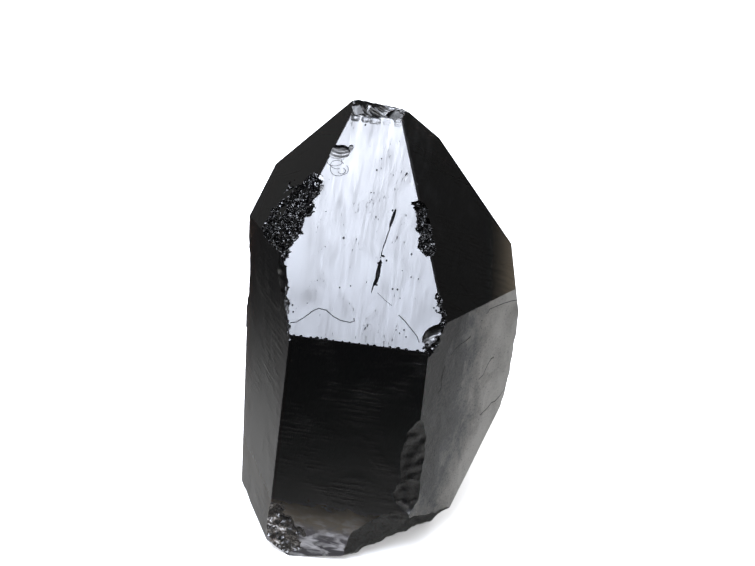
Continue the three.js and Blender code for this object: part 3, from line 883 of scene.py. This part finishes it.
hairlines = [  # face, radius, and points across and up it
    ("pointFront", 0.05, [
        (-5.8, 18.3), (-5.1, 18.5), (-4.4, 19.1), (-3.6, 19.9), (-3.1, 20.2), (-2.3, 20.1), (-1.4, 19.5),
        (-0.6, 19.2), (0.4, 19.1), (0.8, 19.3), (0.7, 19.6),
    ]),
    ("pointFront", 0.045, [(5.2, 20.5), (6.0, 19.9), (6.8, 19.1), (7.4, 18.5), (7.7, 17.9)]),
    ("pointFront", 0.025, [(2.7, 22.6), (3.6, 21.9), (4.4, 21.4)]),
    ("pointFront", 0.045, [(2.55, 27.9), (2.5, 27.2), (2.45, 26.4)]),
    ("prismRight", 0.05, [
        (11.6, 33.4), (9.6, 33.9), (8.1, 34.2), (6.2, 34.4), (3.4, 34.5), (2.9, 34.0), (2.6, 33.6),
        (1.9, 33.5),
    ]),
    ("prismRight", 0.05, [(0.2, 32.2), (-0.9, 31.9), (-1.6, 31.9), (-2.6, 31.6), (-3.3, 31.1)]),
    ("prismRight", 0.05, [(-4.2, 30.1), (-4.5, 29.4), (-4.6, 28.6), (-4.4, 27.8), (-4.9, 27.1)]),
    ("prismRight", 0.05, [(9.7, 22.6), (8.8, 21.9), (7.7, 21.5), (6.9, 21.6), (6.2, 21.2), (4.6, 20.8)]),
    ("prismRight", 0.05, [(5.9, 27.9), (5.2, 27.8), (4.6, 27.2), (4.0, 26.2), (3.2, 26.0)]),
]
rimLine = {"radius": 0.032, "points": 15, "wobble": 0.09, "wobbleWidth": 1.7, "seed": 91}
shellRims = [  # clam-shell outlines below the upper chip: across, up, width, length, first and last angle
    (-3.6, 36.1, 2.0, 1.6, 150, 400),
    (-3.95, 36.6, 1.5, 1.0, 20, 300),
    (-4.3, 36.95, 1.7, 1.1, 185, 400),
    (-3.3, 35.9, 0.8, 0.7, 200, 440),
]

deselectAll()
crystal = newBlank()
print("crystal blank:", len(crystal.data.polygons), "faces")

place = (
    onFace("prismRight", step["across"], step["up"], step["turn"], step["height"])
    @ Matrix.Rotation(-math.atan2(step["height"], step["fade"]), 4, "X")
)
middle = (step["width"] / 2, -step["length"] / 2)
cutAway(crystal, blockTool(step["width"], step["length"], cutterDepth, place, "etched", middle))
for plate in plates:
    place = onFace(plate["face"], plate["across"], plate["up"], plate["turn"], plateDepth)
    middle = (plate["shift"], -plate["length"] / 2)
    cutAway(crystal, blockTool(plate["width"], plate["length"], cutterDepth, place, "prism", middle))
for across, up, turn, width, length in slits:
    cutAway(crystal, pitTool(width, length, slitDepth, onFace("pointFront", across, up, turn)))
for k in range(ragged["count"]):  # crumbs out of the lower slit
    draws = [chance(k, n, ragged["seed"]) for n in (3, 4, 5, 6)]
    along = ragged["length"] * (draws[0] - 0.5)
    turn = math.radians(ragged["lean"])
    across = ragged["middle"][0] + ragged["scatter"] * (draws[1] - 0.5) - along * math.sin(turn)
    size = ragged["size"][0] + ragged["size"][1] * draws[2]
    long, deep = ragged["shape"]
    place = onFace("pointFront", across, ragged["middle"][1] + along, 360 * draws[3])
    cutAway(crystal, pitTool(size, size * long, size * deep, place))
for across, up, size in pits:
    long, deep = pitShape
    cutAway(crystal, pitTool(size, size * long, size * deep, onFace("pointFront", across, up)))
for k in range(nicks["count"]):
    start, wander = nicks["wander"]
    share = (k + start + wander * chance(k, 1, nicks["seed"])) / nicks["count"]
    size = nicks["size"] * (0.5 + chance(k, 2, nicks["seed"]) ** 2)
    wide, long = nicks["shape"]
    cutAway(crystal, pitTool(size * wide, size * long, size, onEdge("frontSill", share, 0.5)))
for across, up, turn, lean, width, length in crownFlakes:
    place = onFace("crown", across, up, turn) @ Matrix.Rotation(math.radians(lean), 4, "X")
    cutAway(crystal, blockTool(width, length, flakeDepth, place, "shell", (0, -length / 2)))
for face, radius, line in hairlines:
    cutAway(crystal, hairlineTool(face, radius, line))
for k, (across, up, width, length, first, last) in enumerate(shellRims):
    line = []
    for angle in np.radians(np.linspace(first, last, rimLine["points"])):
        wave = float(bumps(angle * rimLine["wobbleWidth"], 0.5, rimLine["seed"] + k))
        wobble = 1 + rimLine["wobble"] * wave
        x = across + wobble * width / 2 * math.cos(angle)
        y = up + wobble * length / 2 * math.sin(angle)
        line.append((x, y))
    cutAway(crystal, hairlineTool("pointFront", rimLine["radius"], line))
print("pits and hairlines:", len(crystal.data.polygons), "faces")
seed = cuts["edgeChip"]["seed"]
for k, c in enumerate(edgeChips):
    ribbing, rough = c.get("ribbing", 1.0), c.get("rough", 0.2)
    height = chipHeight(c["size"], c["bite"], c["strike"], seed + k, ribbing, rough)
    place = onEdge(c["edge"], c["share"], c["lean"])
    carve(crystal, "edgeChip", c["size"], height, place, "shell")
seed = cuts["faceChip"]["seed"]
for k, c in enumerate(faceChips):
    height = chipHeight(c["size"], c["bite"], c["strike"], seed + k)
    place = onFace(c["face"], c["across"], c["up"], c["turn"])
    carve(crystal, "faceChip", c["size"], height, place, "shell")
seed = cuts["terrace"]["seed"]
for k, c in enumerate(terraces):
    height = terraceHeight(c["size"], c["bite"], c["strike"], seed + k)
    place = onFace(c["face"], c["across"], c["up"], c["turn"])
    carve(crystal, "terrace", c["size"], height, place, "shell")
print("chips:", len(crystal.data.polygons), "faces")

for b in roughBreaks:
    height = brokenHeight(b["swell"], b["strike"], b["seed"], b.get("scale", 1.0))
    place = onFace(b["name"])
    rise = b.get("rise", 0)
    cutAway(crystal, reliefTool(b["size"], b["size"], b["cell"], height, place, b["finish"], rise))
for name in cleanBreaks:
    cutAway(crystal, blockTool(blankSize, blankSize, blankSize, onFace(name), "foot"))
print("large breaks:", len(crystal.data.polygons), "faces")

seed = cuts["faceCrumble"]["seed"]
for k, c in enumerate(faceCrumbles):
    height = crumbleHeight(c["size"], c["bite"], seed + k)
    place = onFace(c["face"], c["across"], c["up"], c["turn"])
    carve(crystal, "faceCrumble", c["size"], height, place, c["finish"])
seed = cuts["edgeCrumble"]["seed"]
for k, c in enumerate(edgeCrumbles):
    height = crumbleHeight(c["size"], edgeCrumbleBite, seed + k)
    place = onEdge(c["edge"], c["share"], c["lean"], c["sink"])
    carve(crystal, "edgeCrumble", c["size"], height, place, c.get("finish", "crushed"))
print("crumbled damage:", len(crystal.data.polygons), "faces")

# stood up on the table, in metres
makeActive(crystal)
crystal.data.transform(Matrix.Translation(stance["shift"]) @ standUp.to_4x4())
bpy.ops.object.mode_set(mode="EDIT")
bpy.ops.mesh.select_all(action="SELECT")
bpy.ops.mesh.bisect(plane_co=(0, 0, 0), plane_no=(0, 0, -1), use_fill=True, clear_outer=True)
bpy.ops.object.mode_set(mode="OBJECT")
crystal.data.transform(Matrix.Scale(mm, 4))

sharpAngle = 30
sameWay = 0.9999  # cosine between a face's normal and its plane's
bpy.ops.object.shade_smooth_by_angle(angle=math.radians(sharpAngle))
mesh = crystal.data
slotOf = {key: mesh.materials.find(finish.name) for key, finish in finishes.items()}
prismNormals = [standUp @ axesOf(name)[0] for name in faces if name.startswith("prism")]
etchedNormal = standUp @ axesOf("prismRight")[0]
for face in mesh.polygons:
    if face.material_index == slotOf["point"]:
        if any(face.normal.dot(normal) > sameWay for normal in prismNormals):
            face.material_index = slotOf["prism"]
        if face.normal.dot(etchedNormal) > sameWay:
            face.material_index = slotOf["etched"]
    if face.material_index not in (slotOf["shell"], slotOf["foot"]):
        face.use_smooth = False
print("crystal:", sum(len(p.vertices) - 2 for p in mesh.polygons), "triangles")

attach(crystal, "root")
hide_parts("crystal")


def stageMaterial(name, colour):
    material, tree = startMaterial(name)
    matt = {"Base Color": colourOf(colour), "Roughness": 0.9, "Specular IOR Level": 0.1}
    surface = addNode(tree, "BsdfPrincipled", matt)
    addNode(tree, "OutputMaterial", {}, {"Surface": surface})
    return material


deselectAll()
bpy.ops.mesh.primitive_plane_add(size=4, location=(0, 0, 0))
floor = bpy.context.object
floor.name = "paleFloor"
floor.data.materials.append(stageMaterial("matt white paper", "#F4F4F5"))

# A glowing sheet seen only in gloss: bright paper near the crystal, dark room beyond it, and the
# crystal's own shade under its overhang.
glow = {
    "middle": (0.018, 0.008),
    "squeeze": 1.15,  # narrower from front to back
    "reach": 10.0,  # stops end a tenth of a metre out
    "stops": (
        (0.2, 0.72), (0.35, 0.66), (0.46, 0.5), (0.53, 0.36), (0.62, 0.2), (0.72, 0.11), (0.83, 0.06),
        (1.0, 0.035),
    ),
    "shadeMiddle": (0.002, -0.006, 0.0),
    "shadeEdge": (0.008, 0.0125),
    "shade": 0.16,
}


def glowMaterial():
    material, tree = startMaterial("lit paper in a dark room")
    place = addNode(tree, "TexCoord").outputs["Object"]
    x, y = glow["middle"]
    squeeze = glow["squeeze"]
    centre = {"Location": (-x, -squeeze * y, 0), "Scale": (1, squeeze, 1)}
    centred = addNode(tree, "Mapping", centre, {"Vector": place})
    reach = addNode(tree, "VectorMath", {"operation": "LENGTH"}, {0: centred})
    share = addNode(
        tree, "Math", {"operation": "MULTIPLY", 1: glow["reach"]}, {0: reach.outputs["Value"]}
    )
    ramp = addNode(tree, "ValToRGB", {"stops": glow["stops"]}, {0: share})
    under = addNode(tree, "VectorMath", {"operation": "DISTANCE", 1: glow["shadeMiddle"]}, {0: place})
    inner, outer = glow["shadeEdge"]
    shade = addNode(
        tree, "MapRange", {"From Min": inner, "From Max": outer, "To Min": glow["shade"], "To Max": 1.0},
        {"Value": under.outputs["Value"]},
    )
    light = addNode(tree, "Emission", {}, {"Color": ramp, "Strength": shade})
    addNode(tree, "OutputMaterial", {}, {"Surface": light})
    return material


deselectAll()
bpy.ops.mesh.primitive_plane_add(size=4, location=(0, 0, 0.0002))
sheet = bpy.context.object
sheet.name = "glossSheet"
sheet.data.materials.append(glowMaterial())
sheet.visible_camera = False
sheet.visible_diffuse = False
sheet.visible_shadow = False
sheet.visible_transmission = False


def softbox(name, direction, distance, size, radiance, colour, target=(0, 0, 0.025)):
    lamp = bpy.data.lights.new(name, "AREA")
    lamp.shape = "RECTANGLE"
    lamp.size, lamp.size_y = size
    lamp.energy = radiance * math.pi * size[0] * size[1]
    lamp.color = colourOf(colour)[:3]
    box = bpy.data.objects.new(name, lamp)
    way = Vector(direction).normalized()
    side = (Vector((1, 0, 0)) - way * way.x).normalized()  # its width stays level
    box.location = Vector(target) + way * distance
    box.rotation_euler = Matrix((side, way.cross(side), way)).transposed().to_euler()
    bpy.context.scene.collection.objects.link(box)
    return box


pointMiddle = (-0.002, -0.004, 0.036)
softbox("keyBox", (-0.20, -0.36, 0.905), 0.60, (0.27, 0.32), 21.5, "#E6EEFF", pointMiddle)
softbox("topBox", (-0.185, -0.17, 0.968), 0.52, (0.25, 0.144), 21.5, "#F4F7FF", pointMiddle)
softbox("backBox", (0.35, 0.75, 0.56), 0.9, (0.4, 0.35), 2.0, "#FFFFFF")
softbox("leftBox", (-0.93, -0.1, 0.36), 0.9, (0.3, 0.4), 2.0, "#FFFFFF")
softbox("rightBox", (0.72, -0.62, 0.3), 0.9, (0.4, 0.3), 2.0, "#FFFFFF")

# seen in gloss alone, so that each side of the crystal has one bright face
sheens = (
    ("rightSheen", (0.50, -0.20, 0.84), 0.60, (0.26, 0.26), 12.0),
    ("backRightSheen", (0.58, 0.50, 0.64), 0.60, (0.18, 0.18), 9.0),
    ("leftSheen", (-0.60, 0.05, 0.80), 0.60, (0.24, 0.42), 9.0),
    ("backSheen", (-0.09, 0.75, 0.66), 0.60, (0.20, 0.18), 8.0),
    ("frontLeftSheen", (-0.12, -0.89, 0.44), 0.90, (0.28, 0.24), 4.0),
)
for name, direction, distance, size, radiance in sheens:
    box = softbox(name, direction, distance, size, radiance, "#EEF3FF", pointMiddle)
    box.visible_diffuse = False
    box.visible_transmission = False

world = bpy.data.worlds.new("studio")
world.use_nodes = True
tree = world.node_tree
tree.nodes.clear()
path = addNode(tree, "LightPath")
seen = addNode(tree, "Background", {"Color": colourOf("#FFFFFF"), "Strength": 1.0})
fill = addNode(tree, "Background", {"Color": colourOf("#FFFFFF"), "Strength": 2.0})
gloss = addNode(tree, "Background", {"Color": colourOf("#FFFFFF"), "Strength": 0.12})
mirrored = addNode(
    tree, "Math", {"operation": "SUBTRACT"},
    {0: path.outputs["Is Glossy Ray"], 1: path.outputs["Is Transmission Ray"]},
)
lit = addNode(tree, "MixShader", {}, {0: mirrored, 1: fill, 2: gloss})
mix = addNode(tree, "MixShader", {}, {0: path.outputs["Is Camera Ray"], 1: lit, 2: seen})
addNode(tree, "OutputWorld", {}, {"Surface": mix})
bpy.context.scene.world = world

camera = bpy.data.cameras.new("view")
camera.lens = 42.9
camera.sensor_width = 36
camera.clip_start = 0.001
eye = bpy.data.objects.new("view", camera)
eye.location = (0.00008, -0.09127, 0.07398)
eye.rotation_euler = (math.radians(63), 0, 0)
bpy.context.scene.collection.objects.link(eye)
bpy.context.scene.camera = eye
bpy.context.scene.view_settings.view_transform = "Standard"
